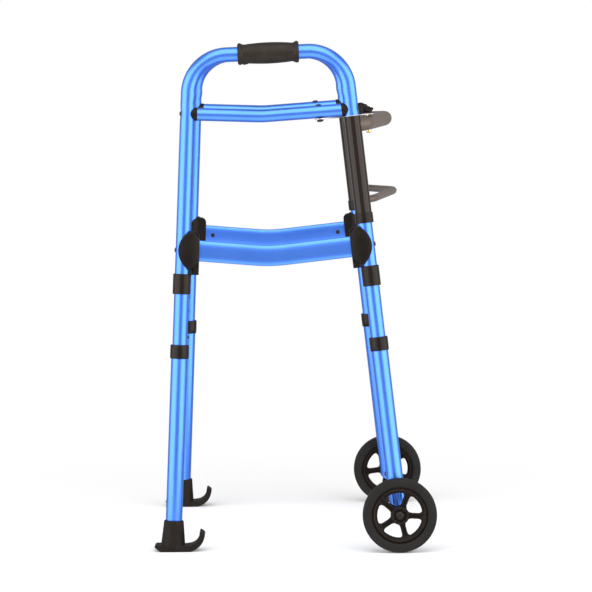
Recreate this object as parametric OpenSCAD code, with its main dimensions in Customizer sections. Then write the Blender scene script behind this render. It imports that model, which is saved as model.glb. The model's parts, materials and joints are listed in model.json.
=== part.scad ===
// Folding walking frame: two side frames that fold in about the front legs,
// height-adjustable legs, two fixed front wheels and two rear glides.
// +X is the walking direction, +Y the user's left, Z = 0 the floor, in millimetres.
// Each side is drawn in its own plane (X forward, +Y inwards, Z up that plane) as the
// right-hand side, then leaned in and placed by on_side().

/* [Stance] */
// Distance between the left and right legs at the floor
floor_width = 516; // [500:2:540]
// Distance between the front and rear legs at the floor
floor_length = 396; // [390:1:410]
// Inward lean of each side frame in degrees
splay = 2.83; // [2.5:0.01:3.1]
// Backward lean of the front legs in degrees
front_rake = 6.45; // [6.2:0.05:6.7]
// Forward lean of the rear legs in degrees
rear_rake = 2.32; // [2.1:0.02:2.6]

/* [Side frame] */
// Height of the handle at the middle of the grip
grip_h = 853; // [850:1:860]
// Upward slope of the handle in degrees
grip_tilt = 2.16; // [1.8:0.02:2.4]
// Middle of the grip, along X
grip_x = -42; // [-46:1:-38]
// Centreline radius of the two top bends
bend_r = 68; // [66:1:70]
// Outside diameter of the side frame's tube
tube_d = 25.4; // [25.4:0.1:25.6]
// Wall of the side frame's tube
tube_wall = 1.2; // [1:0.1:1.6]
// Outside diameter of the upper side bar
upper_bar_d = 22.2; // [21:0.1:23]
// Height of the flattened lower side bar
lower_bar_h = 36; // [34:0.5:37]
// Thickness of the flattened lower side bar
lower_bar_t = 13; // [12:0.5:14]

/* [Legs] */
// Outside diameter of the telescopic lower legs
leg_d = 28.4; // [28.4:0.1:28.6]
// Wall of the lower legs
leg_wall = 1.1; // [1:0.05:1.1]
// Distance between the height settings
notch = 25.4; // [25.4:0.1:25.4]
// Height of the rear leg collar's top edge
rear_collar_h = 354.4; // [352:0.2:356]
// Height of the front leg collar's top edge
front_collar_h = 366; // [364:0.2:368]

/* [Wheels] */
// Tyre radius
wheel_r = 63.5; // [62:0.5:65]
// Tyre width
tyre_w = 24; // [22:0.5:24]
// Distance from the leg's centre plane out to the wheel's centre
wheel_out = 34; // [34:0.5:36]
// Turn of the spokes in degrees on the right wheel and on the left wheel
spoke_turn = [-3, 43.5]; // [-36:0.5:72]

/* [Front frame] */
// Outside diameter of the hinge sleeves
sleeve_d = 28.6; // [28.4:0.1:28.8]
// Height of the crossbar at the sleeves
crossbar_h = 729; // [728:0.5:730]
// Height of the lower bow at the sleeves
bow_h = 600; // [598:1:606]
// Outside diameter of the crossbar
crossbar_d = 25.4; // [24:0.1:25.4]
// Outside diameter of the lower bow
bow_d = 12.7; // [12:0.1:13]
// Slope of each arm of the crossbar and the bow in degrees, seen from above
arm_slope = 12.4; // [12:0.1:13]

/* [Hidden] */
$fn = 72;

// Fits
slip = 0.1;      // radial clearance of a running fit
snug = 0.05;     // radial gap around a part fixed on a tube

// Side frame lines
tyre_corner = 5;
wheel_z = wheel_r - tyre_corner
    + (tyre_corner - (wheel_out - tyre_w / 2 + tyre_corner) * sin(splay)) / cos(splay);
glide_back = 30.5;
front_foot_x = (floor_length + glide_back + wheel_z * tan(front_rake) - wheel_r) / 2;
rear_foot_x = front_foot_x - floor_length;
function front_x(z) = front_foot_x - z * tan(front_rake);
function rear_x(z) = rear_foot_x + z * tan(rear_rake);
tube_end_z = 190;
handle_slope = tan(grip_tilt);
front_corner_z = (grip_h + handle_slope * (front_foot_x - grip_x))
    / (1 + handle_slope * tan(front_rake));
rear_corner_z = (grip_h + handle_slope * (rear_foot_x - grip_x))
    / (1 - handle_slope * tan(rear_rake));
front_corner_x = front_x(front_corner_z);
rear_corner_x = rear_x(rear_corner_z);
front_turn = 90 - front_rake + grip_tilt;
rear_turn = 90 - rear_rake - grip_tilt;
front_tangent = bend_r * tan(front_turn / 2);
rear_tangent = bend_r * tan(rear_turn / 2);
handle_len = norm([front_corner_x - rear_corner_x, front_corner_z - rear_corner_z])
    - front_tangent - rear_tangent;

// Side bars: height of each end and of the middle bend
upper_bar_z = [749.6, 745.2, 756.8];
upper_bar_bend_x = -53;
lower_bar_z = [516.4, 505, 524];
lower_bar_bend_x = -41;
upper_saddle_reach = 17;
lower_saddle_reach = 28.2;
bar_spare = 3;       // length of bar that is cut away at each saddle
rivet_r = 2.4;
rivet_head_r = 4.2;

// Telescopic legs
leg_bore_r = leg_d / 2 - leg_wall;
collar_h = 24;
button_drop = 31;
rear_button_z = rear_collar_h - button_drop;
front_button_z = front_collar_h - button_drop;
button_r = 3;
button_proud = 2.2;
notches_up = 3;
notches_down = 4;
stop_collar_h = 35;
stop_collar_z = [441, 453.5];
rear_leg_end = 12.5;

// Wheel
axle_r = 4;
bush_r = 6.5;
hub_r = 15.6;
hub_half_w = 13;
rim_r = 48.3;
window_r = 38.5;
rim_w = 20;
boss_r = 9;
boss_in = 15.2;      // from the leg's centre plane to the face that the axle nut sits on
plug_top = 46;

// Front frame
sleeve_bottom_h = 561;
sleeve_top_h = 743.9;
ring_h = 17.7;
arm_start = 17;
bow_start = 16;
apex_r = 150;

// Fold lock, placed from the hinge axis at the crossbar's height
lock_x = 26.9;
lock_y = 45;
bolt_back = 55;
strut_t = 1.6;
strut_h = 15.9;
strut_w = 18;
strut_angle = atan2(lock_y, bolt_back + lock_x);
strut_len = norm([bolt_back + lock_x, lock_y]);
slot_half_w = 4.9;
slot_start = 22;
plate_h = strut_h + strut_t + 0.4;
plate_t = 1.6;
lever_pin_x = -9;
lever_pin_h = plate_h + plate_t + 5.5;
lever_pin_r = 1.5;
lock_pin_r = 3;

// Colours
blue = [0.30, 0.55, 0.98];
black = [0.16, 0.15, 0.14];
gloss_black = [0.10, 0.09, 0.09];
dark_grey = [0.33, 0.30, 0.28];
steel = [0.72, 0.72, 0.72];
brass = [0.83, 0.68, 0.33];

// ---- placing ----

// Puts a part of the right side frame in place, or its mirror image on the left
module on_side(left) {
    mirror([0, left ? 1 : 0, 0]) translate([0, -floor_width / 2, 0]) rotate([-splay, 0, 0])
        children();
}

// Z runs up the front leg from height z
module at_front(z) {
    translate([front_x(z), 0, z]) rotate([0, -front_rake, 0]) children();
}

// Z runs up the rear leg from height z
module at_rear(z) {
    translate([rear_x(z), 0, z]) rotate([0, rear_rake, 0]) children();
}

// Z runs up the hinge axis from the crossbar's height
module at_lock() {
    at_front(crossbar_h) children();
}

// Z runs along -Y, out of the side frame
module outward() {
    rotate([90, 0, 0]) children();
}

// Length along a leg between two heights
function along(rake, z0, z1) = (z1 - z0) / cos(rake);

// ---- shapes ----

module ring(outer_r, inner_r, h) {
    difference() {
        cylinder(r = outer_r, h = h);
        translate([0, 0, -1]) cylinder(r = inner_r, h = h + 2);
    }
}

// Hollow tube with a wall
module tube(d, wall, h) {
    ring(d / 2, d / 2 - wall, h);
}

// Slight bead over the seam where a straight tube meets a bend, centred on z = 0
module seam(d, wall) {
    bead = 0.1;
    translate([0, 0, -1.5]) ring(d / 2 + bead, d / 2 - wall - bead, 3);
}

// Bent piece of the side frame's tube in the XZ plane, centred on (x, z)
module tube_bend(x, z, start, turn) {
    translate([x, 0, z]) rotate([90, 0, 0]) rotate([0, 0, start])
        rotate_extrude(angle = turn) translate([bend_r, 0]) difference() {
            circle(d = tube_d);
            circle(d = tube_d - 2 * tube_wall);
        }
}

// Domed rivet or bolt head on z = 0
module dome(r, h) {
    ball = (r * r + h * h) / (2 * h);
    intersection() {
        translate([0, 0, h - ball]) sphere(r = ball);
        cylinder(r = r, h = h);
    }
}

module hex_nut(across, bore_r, h) {
    difference() {
        cylinder(d = across / cos(30), h = h, $fn = 6);
        translate([0, 0, -1]) cylinder(r = bore_r, h = h + 2);
    }
}

// ---- front frame ----

module hinge_sleeves() {
    sleeve_len = along(front_rake, sleeve_bottom_h, sleeve_top_h);
    color(gloss_black) for (left = [false, true])
        on_side(left) at_front(sleeve_bottom_h)
            ring(sleeve_d / 2, tube_d / 2 + slip, sleeve_len);
}

module sleeve_collars() {
    color(black) for (left = [false, true])
        on_side(left) at_front(sleeve_bottom_h)
            ring(15.75, sleeve_d / 2 + snug, ring_h);
}

module sleeve_washers() {
    color(steel) for (left = [false, true])
        on_side(left) at_front(sleeve_top_h) translate([0, 0, snug])
            ring(16, tube_d / 2 + slip, 1.2);
}

// Bar bowed forward between the sleeves: two straight arms and a rounded apex
module bowed_bar(h, d, wall, start) {
    half = floor_width / 2 - h * sin(splay);
    arm = (half - apex_r * sin(arm_slope)) / cos(arm_slope);
    apex = start + half * tan(arm_slope) - apex_r * (1 / cos(arm_slope) - 1);
    translate([front_x(h), 0, h * cos(splay)]) rotate([0, -front_rake, 0]) {
        translate([apex - apex_r, 0, 0]) rotate([0, 0, -arm_slope])
            rotate_extrude(angle = 2 * arm_slope) translate([apex_r, 0]) difference() {
                circle(d = d);
                circle(d = d - 2 * wall);
            }
        for (side = [-1, 1])
            translate([start, side * half, 0])
                rotate([0, 0, side * arm_slope]) rotate([side * 90, 0, 0]) {
                    tube(d, wall, arm);
                    translate([0, 0, arm]) seam(d, wall);
                }
    }
}

module cope_at_sleeves() {
    for (left = [false, true])
        on_side(left) at_front(sleeve_bottom_h - 30)
            cylinder(r = sleeve_d / 2 + snug, h = 260);
}

module front_crossbar() {
    color(dark_grey) difference() {
        bowed_bar(crossbar_h, crossbar_d, 1.4, arm_start);
        cope_at_sleeves();
        for (left = [false, true])
            on_side(left) at_lock() translate([lock_x, lock_y, -30])
                cylinder(r = lock_pin_r + snug, h = 60);
    }
}

module lower_bow() {
    color(dark_grey) difference() {
        bowed_bar(bow_h, bow_d, 1.2, bow_start);
        cope_at_sleeves();
    }
}

module lock_rivets() {
    tail = -11.6;
    top = plate_h + plate_t + snug;
    color(brass) for (left = [false, true])
        on_side(left) at_lock() translate([lock_x, lock_y, 0]) {
            translate([0, 0, tail - 3]) cylinder(r = lock_pin_r, h = top - tail + 3);
            translate([0, 0, top]) dome(5, 2.2);
            translate([0, 0, tail - 2]) mirror([0, 0, 1]) dome(4.4, 2);
        }
}

module lever_plates() {
    color(black) for (left = [false, true])
        on_side(left) at_lock() translate([lock_x, lock_y, 0]) difference() {
            union() {
                translate([-14, -12, plate_h]) cube([27, 24, plate_t]);
                for (side = [-1, 1])
                    translate([lever_pin_x, side * 11.2, lever_pin_h]) rotate([90, 0, 0])
                        translate([0, 0, -0.8]) cylinder(r = 3.6, h = 1.6);
                for (side = [-1, 1])
                    translate([lever_pin_x - 3.6, side * 11.2 - 0.8, plate_h])
                        cube([7.2, 1.6, lever_pin_h - plate_h]);
            }
            translate([0, 0, plate_h - 1]) cylinder(r = lock_pin_r + snug, h = plate_t + 2);
            translate([lever_pin_x, 20, lever_pin_h]) rotate([90, 0, 0])
                cylinder(r = lever_pin_r + snug, h = 40);
        }
}

module lever_pins() {
    color(steel) for (left = [false, true])
        on_side(left) at_lock() translate([lock_x + lever_pin_x, lock_y + 13, lever_pin_h])
            rotate([90, 0, 0]) cylinder(r = lever_pin_r, h = 26);
}

// ---- side frames ----

// Bore for a rivet through a leg, along the leg's own X from the far wall to the bar
module leg_rivet_bores() {
    for (z = [upper_bar_z[2], lower_bar_z[2]])
        at_front(z) rotate([0, -90, 0]) translate([0, 0, -20])
            cylinder(r = rivet_r + snug, h = 60);
    for (z = [upper_bar_z[0], lower_bar_z[0]])
        at_rear(z) rotate([0, 90, 0]) translate([0, 0, -20])
            cylinder(r = rivet_r + snug, h = 60);
}

// Row of height-setting holes in the inner wall of the side tube
module notch_holes() {
    for (k = [-notches_down : notches_up]) {
        at_front(front_button_z) translate([0, 0, k * notch]) rotate([-90, 0, 0])
            cylinder(r = button_r + 0.4, h = 20);
        at_rear(rear_button_z) translate([0, 0, k * notch]) rotate([-90, 0, 0])
            cylinder(r = button_r + 0.4, h = 20);
    }
}

// Straight tube, turned so that its own weld line lies clear of every hole
module straight_with_seam(length) {
    weld_line = 45;
    rotate([0, 0, weld_line]) tube(tube_d, tube_wall, length);
    translate([0, 0, length]) seam(tube_d, tube_wall);
}

// Tube from inside the front leg, over the two top bends, down into the rear leg
module side_tube(left) {
    front_len = along(front_rake, tube_end_z, front_corner_z) - front_tangent;
    rear_len = along(rear_rake, tube_end_z, rear_corner_z) - rear_tangent;
    bend_start = [
        front_corner_x + front_tangent * sin(front_rake),
        front_corner_z - front_tangent * cos(front_rake)
    ];
    front_centre = bend_start - bend_r * [cos(front_rake), sin(front_rake)];
    rear_centre = front_centre - handle_len * [cos(grip_tilt), sin(grip_tilt)];
    color(blue) on_side(left) difference() {
        union() {
            at_front(tube_end_z) straight_with_seam(front_len);
            tube_bend(front_centre[0], front_centre[1], front_rake, front_turn);
            translate([rear_centre[0], 0, rear_centre[1]])
                rotate([0, 90 - grip_tilt, 0]) translate([-bend_r, 0, 0]) {
                    straight_with_seam(handle_len);
                    seam(tube_d, tube_wall);
                }
            tube_bend(rear_centre[0], rear_centre[1], 90 + grip_tilt, rear_turn);
            at_rear(tube_end_z) straight_with_seam(rear_len);
        }
        notch_holes();
        leg_rivet_bores();
    }
}

// Grip: flange, waist and barrel turned about the handle
module hand_grip(left) {
    length = 105;
    flange_r = 18.4;
    flange_w = 6;
    waist_r = 16.6;
    barrel_rise = 1.5;
    steps = 12;
    bore_r = tube_d / 2 + snug;
    barrel = [for (i = [0 : steps])
        let (t = i / steps)
        [waist_r + barrel_rise * sin(180 * t), -length / 2 + flange_w + t * (length - 2 * flange_w)]];
    color(black) on_side(left) translate([grip_x, 0, grip_h])
        rotate([0, 90 - grip_tilt, 0]) rotate_extrude() polygon(concat(
            [[bore_r, -length / 2], [flange_r - 2, -length / 2], [flange_r, -length / 2 + 2],
             [flange_r, -length / 2 + flange_w - 1.5]],
            barrel,
            [[flange_r, length / 2 - flange_w + 1.5], [flange_r, length / 2 - 2],
             [flange_r - 2, length / 2], [bore_r, length / 2]]));
}

// End of a bar on the side plane, at the saddle's inner edge
function rear_bar_end(z, reach) = [rear_x(z) + reach * cos(rear_rake), z - reach * sin(rear_rake)];
function front_bar_end(z, reach) = [front_x(z) - reach * cos(front_rake), z - reach * sin(front_rake)];

// Straight piece of bar from a to b and a little beyond both, with a section about the origin
module bar_between(a, b, before, after) {
    rise = atan2(b[1] - a[1], b[0] - a[0]);
    translate([a[0], 0, a[1]]) rotate([0, 90 - rise, 0]) translate([0, 0, -before])
        linear_extrude(height = norm(b - a) + before + after) children();
}

// Bar with a shallow bend at mid, where its two straights run on by the mitre
module bent_bar(bar_z, mid, reach, mitre) {
    rear = rear_bar_end(bar_z[0], reach - bar_spare);
    front = front_bar_end(bar_z[2], reach - bar_spare);
    bar_between(rear, mid, 0, mitre) children();
    bar_between(mid, front, mitre, 0) children();
}

// The hollow of a bent bar, which runs out of both its ends
module bent_bore(bar_z, mid, reach) {
    bar_between(rear_bar_end(bar_z[0], reach), mid, 2 * bar_spare, 0.5) children();
    bar_between(mid, front_bar_end(bar_z[2], reach), 0.5, 2 * bar_spare) children();
}

// Space beyond the saddles' inner faces, which square off the ends of a bar
module beyond_saddles(bar_z, reach) {
    size = 80;
    at_front(bar_z[2]) translate([-reach - snug, -size / 2, -size / 2]) cube(size);
    at_rear(bar_z[0]) translate([reach + snug - size, -size / 2, -size / 2]) cube(size);
}

// Slight bead over the bend of the upper bar, square to the middle of the bend
module upper_bar_bead(d) {
    bead = 0.4;
    mid_rise = 1.3;
    translate([upper_bar_bend_x, 0, upper_bar_z[1]]) rotate([0, 90 - mid_rise, 0])
        cylinder(r = d / 2 + bead, h = 4, center = true);
}

// Round bar with a shallow bend
module upper_bar(left) {
    mid = [upper_bar_bend_x, upper_bar_z[1]];
    bore_d = upper_bar_d - 2.4;
    color(blue) on_side(left) difference() {
        union() {
            bent_bar(upper_bar_z, mid, upper_saddle_reach, 0.6) circle(d = upper_bar_d);
            upper_bar_bead(upper_bar_d);
        }
        bent_bore(upper_bar_z, mid, upper_saddle_reach) circle(d = bore_d);
        upper_bar_bead(bore_d - 2 * snug);
        beyond_saddles(upper_bar_z, upper_saddle_reach);
        at_lock() translate([-bolt_back, 0, 0]) cylinder(r = lock_pin_r + snug, h = 80);
    }
}

// Flattened tube section with rounded long edges
module oval(w, t) {
    square([w - t, t], center = true);
    for (side = [-1, 1]) translate([side * (w - t) / 2, 0]) circle(d = t);
}

module lower_bar(left) {
    wall = 1.2;
    mid = [lower_bar_bend_x, lower_bar_z[1]];
    color(blue) on_side(left) difference() {
        bent_bar(lower_bar_z, mid, lower_saddle_reach, 1) oval(lower_bar_h, lower_bar_t);
        bent_bore(lower_bar_z, mid, lower_saddle_reach)
            oval(lower_bar_h - 2 * wall, lower_bar_t - 2 * wall);
        beyond_saddles(lower_bar_z, lower_saddle_reach);
        bar_face_rivets() cylinder(r = rivet_r + snug, h = 40, center = true);
    }
}

// The rivets through the lower bar's face that hold it on the saddles' tongues
module bar_face_rivets() {
    for (end = [0, 1]) {
        z = lower_bar_z[end * 2];
        reach = lower_saddle_reach + 13;
        p = end == 0 ? rear_bar_end(z, reach) : front_bar_end(z, reach);
        translate([p[0], 0, p[1]]) outward() children();
    }
}

// Leaf-shaped end cap that cups the leg. Z up the leg, the bar leaves along -X.
module lower_saddle() {
    leaf_r = 36.5;
    back_r = 38.8;
    cheek = tube_d / 2 + 2.9;
    difference() {
        intersection() {
            translate([leaf_r * -1 + 7.8, 0, 0]) outward()
                cylinder(r = leaf_r, h = 60, center = true);
            translate([6.1, 0, 0]) outward() cylinder(r = back_r, h = 60, center = true);
            translate([-lower_saddle_reach, -30, -50]) cube([60, 60, 100]);
            union() {
                translate([0, 0, -50]) cylinder(r = cheek, h = 100);
                translate([-lower_saddle_reach, -9.5, -50])
                    cube([lower_saddle_reach, 19, 100]);
            }
        }
        translate([0, 0, -60]) cylinder(r = tube_d / 2 + snug, h = 120);
    }
}

// Tongue of a lower saddle inside the bar's end
module saddle_tongue() {
    translate([-lower_saddle_reach - 20, -4.6, -11]) cube([20.5, 9.2, 22]);
}

module lower_saddles(left) {
    color(black) on_side(left) difference() {
        union() {
            at_front(lower_bar_z[2]) {
                lower_saddle();
                saddle_tongue();
            }
            at_rear(lower_bar_z[0]) mirror([1, 0, 0]) {
                lower_saddle();
                rotate([0, -4, 0]) saddle_tongue();
            }
        }
        leg_rivet_bores();
        bar_face_rivets() cylinder(r = rivet_r + snug, h = 40, center = true);
    }
}

// Round end cap between the leg and the upper bar
module upper_saddle() {
    cap_r = 11.3;
    cheek = tube_d / 2 + 1.9;
    difference() {
        union() {
            intersection() {
                translate([-upper_saddle_reach, 0, 0]) outward()
                    cylinder(r = cap_r, h = 40, center = true);
                translate([-upper_saddle_reach, -20, -20]) cube([40, 40, 40]);
                translate([0, 0, -20]) cylinder(r = cheek, h = 40);
            }
            translate([-upper_saddle_reach, 0, 0]) rotate([0, 90, 0])
                cylinder(r = upper_bar_d / 2 + 0.2, h = upper_saddle_reach - 5);
        }
        translate([0, 0, -30]) cylinder(r = tube_d / 2 + snug, h = 60);
    }
}

// Plug of an upper saddle inside the bar's end
module saddle_plug() {
    translate([-upper_saddle_reach, 0, 0]) rotate([0, -90, 0])
        translate([0, 0, -2]) cylinder(r = upper_bar_d / 2 - 1.8, h = 16);
}

module upper_saddles(left) {
    color(black) on_side(left) difference() {
        union() {
            at_front(upper_bar_z[2]) {
                upper_saddle();
                saddle_plug();
            }
            at_rear(upper_bar_z[0]) mirror([1, 0, 0]) {
                upper_saddle();
                saddle_plug();
            }
        }
        leg_rivet_bores();
    }
}

// One rivet through a leg into a bar's end. Z runs from the leg's axis to the bar.
module leg_rivet(length) {
    translate([0, 0, -tube_d / 2]) cylinder(r = rivet_r, h = tube_d / 2 + length);
    translate([0, 0, -tube_d / 2]) mirror([0, 0, 1]) dome(rivet_head_r, 2.4);
}

module bar_rivets(left) {
    color(black) on_side(left) {
        at_front(upper_bar_z[2]) rotate([0, -90, 0]) leg_rivet(24);
        at_front(lower_bar_z[2]) rotate([0, -90, 0]) leg_rivet(27);
        at_rear(upper_bar_z[0]) rotate([0, 90, 0]) leg_rivet(24);
        at_rear(lower_bar_z[0]) rotate([0, 90, 0]) leg_rivet(27);
        bar_face_rivets() mirror([0, 0, 1]) {
            translate([0, 0, -lower_bar_t / 2]) cylinder(r = rivet_r, h = lower_bar_t);
            translate([0, 0, lower_bar_t / 2]) dome(3.9, 1.6);
        }
    }
}

module stop_collars(left) {
    color(black) on_side(left) {
        at_rear(stop_collar_z[0]) ring(15.5, tube_d / 2 + snug, stop_collar_h);
        at_front(stop_collar_z[1]) ring(15.5, tube_d / 2 + snug, stop_collar_h);
    }
}

// Leaf spring folded in a V inside the tube behind its snap button
module spring_clip() {
    rotate([0, -90, 0]) linear_extrude(height = 8, center = true) {
        translate([0, 7.6]) square([20, 0.8], center = true);
        for (side = [-1, 1])
            translate([side * 10, 7.6]) rotate(side > 0 ? -25 : 205) translate([0, -0.4])
                square([12, 0.8]);
    }
}

module spring_clips(left) {
    color(steel) on_side(left) {
        at_front(front_button_z) spring_clip();
        at_rear(rear_button_z) spring_clip();
    }
}

// Height of the upper bar's top at x, forward of its bend
function upper_bar_top(x) = upper_bar_z[1] + upper_bar_d / 2
    + (x - upper_bar_bend_x) * (upper_bar_z[2] - upper_bar_z[1])
    / (front_x(upper_bar_z[2]) - upper_saddle_reach - upper_bar_bend_x);

module strut_bolt(left) {
    bolt_x = front_x(crossbar_h + upper_bar_d) - bolt_back;
    top = along(front_rake, crossbar_h, upper_bar_top(bolt_x)) + bolt_back * tan(front_rake);
    color(black) on_side(left) at_lock() translate([-bolt_back, 0, 0]) {
        translate([0, 0, strut_h - 4.2]) cylinder(r = lock_pin_r, h = top - strut_h + 4.2);
        translate([0, 0, top]) dome(5, 2);
    }
}

module strut_nut(left) {
    color(black) on_side(left) at_lock() translate([-bolt_back, 0, strut_h - 3.6])
        hex_nut(9.5, lock_pin_r + snug, 3.2);
}

// ---- lower legs ----

module button_hole() {
    rotate([-90, 0, 0]) cylinder(r = button_r + slip, h = 20);
}

module rear_leg(left) {
    color(blue) on_side(left) difference() {
        at_rear(rear_leg_end)
            tube(leg_d, leg_wall, along(rear_rake, rear_leg_end, rear_collar_h - 2.2));
        at_rear(rear_button_z) button_hole();
    }
}

// The tube's lower end is rounded about the axle on its inner and outer faces
module front_leg(left) {
    end_r = leg_d / 2;
    color(blue) on_side(left) difference() {
        at_front(wheel_z) difference() {
            translate([0, 0, -end_r])
                tube(leg_d, leg_wall, end_r + along(front_rake, wheel_z, front_collar_h - 2.2));
            difference() {
                translate([-20, -20, -20]) cube([40, 40, 20]);
                outward() cylinder(r = end_r, h = 60, center = true);
            }
            outward() cylinder(r = boss_r + snug, h = 60, center = true);
        }
        at_front(front_button_z) button_hole();
    }
}

// Cap on the lower leg's top end that guides the side tube
module leg_collar() {
    difference() {
        translate([0, 0, -collar_h]) cylinder(r = 16.1, h = collar_h);
        translate([0, 0, -collar_h - 1]) cylinder(r = leg_d / 2 + snug, h = collar_h - 1.1);
        translate([0, 0, -5]) cylinder(r = tube_d / 2 + slip, h = 10);
    }
}

module rear_leg_collar(left) {
    color(black) on_side(left) at_rear(rear_collar_h) leg_collar();
}

module front_leg_collar(left) {
    color(black) on_side(left) at_front(front_collar_h) leg_collar();
}

// Ski-shaped foot: flat sole, chamfered tail and a tip that curls up in front
module glide(left) {
    sole = [-21.4, 25];
    half_w = 18;
    sole_t = 14;
    tail = [[sole[0], 0], [-glide_back, 9], [-glide_back + 3, sole_t], [0, sole_t]];
    tip_r = 30;
    tip_t = 9.5;
    tip_turn = 108;
    color(black) difference() {
        union() {
            mirror([0, left ? 1 : 0, 0]) translate([rear_foot_x, -floor_width / 2, 0]) {
                outward() linear_extrude(height = 2 * half_w, center = true)
                    polygon(concat(tail, [[sole[1], sole_t - 0.5], [sole[1], 0]]));
                translate([sole[1], 0, tip_r]) outward() rotate([0, 0, -90])
                    rotate_extrude(angle = tip_turn) translate([tip_r - tip_t, -half_w])
                        square([tip_t, 2 * half_w]);
            }
            on_side(left) at_rear(8) cylinder(r1 = 21, r2 = 16.8, h = 45);
        }
        on_side(left) at_rear(rear_leg_end - 0.2) cylinder(r = leg_d / 2 + snug, h = 60);
    }
}

// Plug in the front leg's end with a boss on each side for the axle
module wheel_mount(left) {
    plug_r = leg_bore_r - 0.1;
    color(black) on_side(left) at_front(wheel_z) difference() {
        union() {
            intersection() {
                translate([0, 0, -20]) cylinder(r = plug_r, h = 20 + plug_top);
                union() {
                    outward() cylinder(r = plug_r, h = 60, center = true);
                    translate([-20, -30, 0]) cube([40, 60, plug_top + 1]);
                }
            }
            outward() translate([0, 0, -boss_in])
                cylinder(r = boss_r, h = boss_in + wheel_out - hub_half_w - 0.3);
        }
        outward() cylinder(r = axle_r + snug, h = 80, center = true);
    }
}

module axle_bolt(left) {
    head_seat = wheel_out + 7.3;
    color(black) on_side(left) at_front(wheel_z) outward() {
        translate([0, 0, -boss_in - 7.5]) cylinder(r = axle_r, h = head_seat + boss_in + 8);
        translate([0, 0, head_seat]) cylinder(r = 8.4, h = 1.2);
        translate([0, 0, head_seat + 1.2]) cylinder(d = 13 / cos(30), h = 3.6, $fn = 6);
    }
}

module axle_nut(left) {
    color(black) on_side(left) at_front(wheel_z) outward()
        translate([0, 0, -boss_in - 6.55]) hex_nut(13, axle_r + snug, 6.5);
}

// ---- wheels ----

module at_wheel(left) {
    on_side(left) at_front(wheel_z) outward() translate([0, 0, wheel_out])
        rotate([0, 0, spoke_turn[left ? 1 : 0] - front_rake]) children();
}

module tyre(left) {
    half = tyre_w / 2;
    c = tyre_corner;
    color(black) at_wheel(left) rotate_extrude() {
        translate([rim_r + snug, -half]) square([wheel_r - c - rim_r - snug, tyre_w]);
        translate([wheel_r - c - 1, -half + c]) square([c + 1, tyre_w - 2 * c]);
        for (side = [-1, 1]) translate([wheel_r - c, side * (half - c)]) circle(r = c);
    }
}

// Five-spoked rim with a hub and a pocket for the bolt's head
module wheel_rim(left) {
    spokes = 5;
    spoke_w = 9.5;
    color(black) at_wheel(left) difference() {
        union() {
            translate([0, 0, -rim_w / 2]) ring(rim_r, window_r, rim_w);
            translate([0, 0, -hub_half_w]) cylinder(r = hub_r, h = 2 * hub_half_w);
            for (i = [0 : spokes - 1]) rotate([0, 0, 360 / spokes * i])
                translate([hub_r - 2, -spoke_w / 2, -6])
                    cube([window_r - hub_r + 3.5, spoke_w, 12]);
        }
        translate([0, 0, -20]) cylinder(r = bush_r + snug, h = 40);
        translate([0, 0, 7]) cylinder(r = 9.5, h = 10);
    }
}

module wheel_bushes(left) {
    color(steel) at_wheel(left) for (start = [-hub_half_w, -1])
        translate([0, 0, start]) ring(bush_r, axle_r + 0.08, 8);
}

// ---- buttons, strut and lever ----

module snap_button() {
    inner = leg_bore_r + slip;
    outer = leg_d / 2 + button_proud - 1.2;
    rotate([-90, 0, 0]) {
        translate([0, 0, inner]) cylinder(r = button_r, h = outer - inner);
        translate([0, 0, outer]) dome(button_r, 1.2);
    }
}

module rear_snap_button(left) {
    color(black) on_side(left) at_rear(rear_button_z) snap_button();
}

module front_snap_button(left) {
    color(black) on_side(left) at_front(front_button_z) snap_button();
}

// Flat strut that pivots under the upper bar and slides on the lock rivet
module lock_strut(left) {
    tail = 9;
    color(steel) on_side(left) at_lock() translate([-bolt_back, 0, strut_h])
        rotate([0, 0, strut_angle]) linear_extrude(height = strut_t) difference() {
            union() {
                translate([0, -strut_w / 2]) square([strut_len + tail - 4, strut_w]);
                circle(d = strut_w);
                translate([strut_len + tail - 4, 0]) circle(d = strut_w);
            }
            circle(r = lock_pin_r + 0.08);
            translate([slot_start, -slot_half_w]) square([strut_len - slot_start, 2 * slot_half_w]);
            translate([slot_start, 0]) circle(r = slot_half_w);
            translate([strut_len, 0]) circle(r = slot_half_w);
        }
}

// Thumb lever over the rivet: a domed pad with two lugs on the pin
module release_lever(left) {
    pad_bottom = plate_h + plate_t + 3.4;
    color(black) on_side(left) at_lock() translate([lock_x, lock_y, 0]) difference() {
        union() {
            intersection() {
                translate([lever_pin_x - 3, -10, pad_bottom]) cube([25, 20, 9]);
                translate([3, 0, pad_bottom - 14]) outward()
                    cylinder(r = 22.5, h = 40, center = true);
            }
            translate([lever_pin_x, 10, lever_pin_h]) rotate([90, 0, 0]) cylinder(r = 3.4, h = 20);
        }
        translate([lever_pin_x, 20, lever_pin_h]) rotate([90, 0, 0])
            cylinder(r = lever_pin_r + 0.08, h = 40);
    }
}

hinge_sleeves();
sleeve_collars();
sleeve_washers();
front_crossbar();
lower_bow();
lock_rivets();
lever_plates();
lever_pins();
side_tube(false);  // side_tube_right
hand_grip(false);  // hand_grip_right
upper_bar(false);  // upper_bar_right
lower_bar(false);  // lower_bar_right
upper_saddles(false);  // upper_saddles_right
lower_saddles(false);  // lower_saddles_right
bar_rivets(false);  // bar_rivets_right
stop_collars(false);  // stop_collars_right
spring_clips(false);  // spring_clips_right
strut_bolt(false);  // strut_bolt_right
strut_nut(false);  // strut_nut_right
rear_leg(false);  // rear_leg_right
rear_leg_collar(false);  // rear_leg_collar_right
glide(false);  // glide_right
front_leg(false);  // front_leg_right
front_leg_collar(false);  // front_leg_collar_right
wheel_mount(false);  // wheel_mount_right
axle_bolt(false);  // axle_bolt_right
axle_nut(false);  // axle_nut_right
tyre(false);  // tyre_right
wheel_rim(false);  // wheel_rim_right
wheel_bushes(false);  // wheel_bushes_right
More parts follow.
